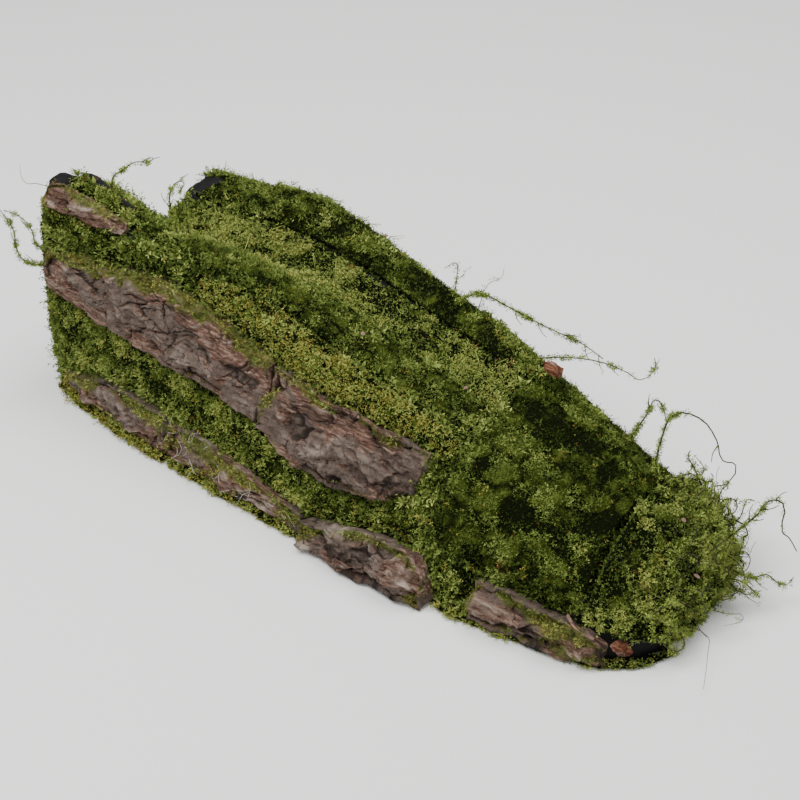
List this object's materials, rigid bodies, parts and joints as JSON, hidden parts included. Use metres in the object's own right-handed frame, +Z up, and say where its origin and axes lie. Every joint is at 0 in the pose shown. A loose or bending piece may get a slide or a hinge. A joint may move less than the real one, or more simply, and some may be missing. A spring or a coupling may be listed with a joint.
{
  "type": "mossy log",
  "caption": "Tapering display log: a black foam core with a flat base, bark slabs and green moss mats glued round it and wiry moss runners standing out of the moss",
  "frame": {"origin": "middle of the underside of the whole object, stems included, on the surface it rests on", "axes": "+X along the log towards its rounded low nose, +Y towards its back, +Z up"},
  "size_m": [0.5034, 0.2128, 0.1582],
  "materials": {
    "core": "matte black rigid foam",
    "bark": "rough grey-brown pine bark with red-brown flaking and dark cracks",
    "chip": "broken red-brown bark",
    "moss": "soft matte moss in greens from near black to yellow-green",
    "stem": "wiry dark stem with small pale green leaves"
  },
  "bodies": {
    "root": {"core": "core", "bark_back_far": "bark", "bark_back_near": "bark", "bark_end_chip": "bark", "bark_lower_left": "bark", "bark_lower_middle": "bark", "bark_lower_right": "bark", "bark_nose": "bark", "bark_upper_left": "bark", "bark_upper_right": "bark", "chip_crest": "chip", "chip_nose_slab": "chip", "moss_back_foot": "moss", "moss_back_gap": "moss", "moss_back_nose": "moss", "moss_crest": "moss", "moss_end_front": "moss", "moss_foot_left": "moss", "moss_foot_middle": "moss", "moss_foot_nose": "moss", "moss_front_top": "moss", "moss_gap_front": "moss", "moss_gully": "moss", "moss_hump": "moss", "moss_nose": "moss", "moss_ridge": "moss", "moss_ridge_end": "moss", "moss_rim": "moss", "moss_saddle": "moss", "moss_sawn_end": "moss", "moss_valley": "moss", "stem_arch_large": "stem", "stem_arch_small": "stem", "stem_crest_hair": "stem", "stem_crest_twig": "stem", "stem_left_long": "stem", "stem_left_short": "stem", "stem_left_wire": "stem", "stem_nose_bend": "stem", "stem_nose_curl": "stem", "stem_nose_drop": "stem", "stem_nose_loop": "stem", "stem_nose_side": "stem", "stem_runner_lower": "stem", "stem_runner_upper": "stem", "stem_top_curl": "stem", "stem_top_left": "stem", "stem_top_side": "stem"}
  },
  "joints": []
}
